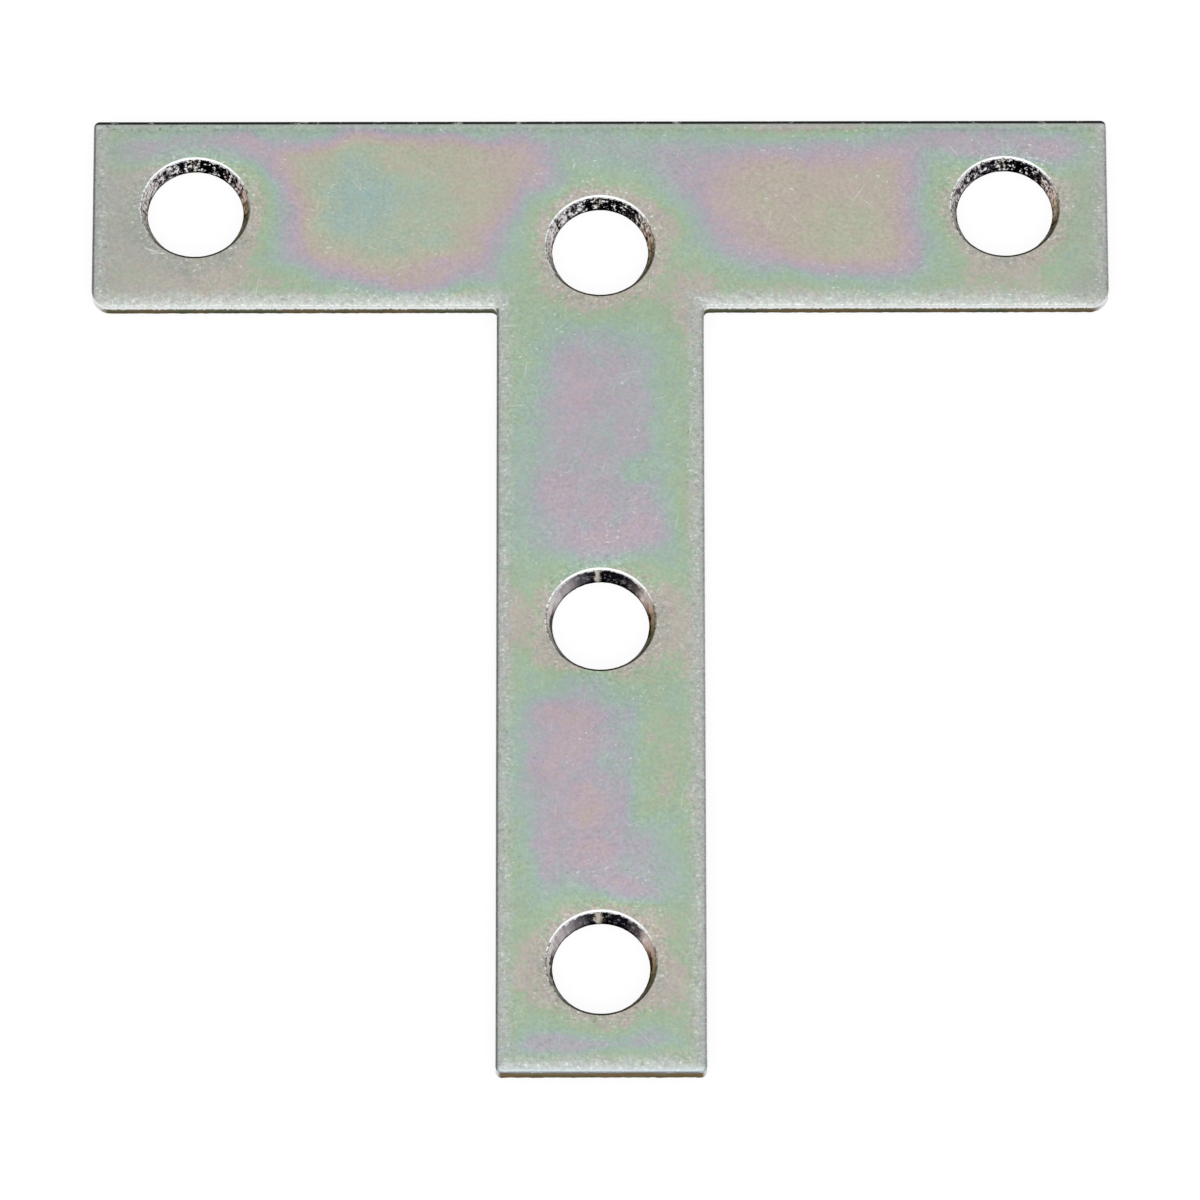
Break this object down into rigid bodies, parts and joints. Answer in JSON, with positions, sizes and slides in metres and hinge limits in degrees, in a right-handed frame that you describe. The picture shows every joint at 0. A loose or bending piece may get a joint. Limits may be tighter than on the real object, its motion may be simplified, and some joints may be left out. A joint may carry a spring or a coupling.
{
  "type": "t plate bracket",
  "caption": "Flat T-shaped steel mending plate with tapered screw holes along its bar and stem, for joining timber at a tee.",
  "frame": {"origin": "under the middle of the plate's box, on the back face", "axes": "+X along the bar, +Y from the stem's foot to the bar's top edge, +Z out of the front face"},
  "size_m": [0.0762, 0.0762, 0.0016],
  "materials": {
    "plated_steel": "satin zinc plating with a faintly iridescent clear chromate film"
  },
  "bodies": {
    "root": {"t_plate": "plated_steel"}
  },
  "joints": []
}
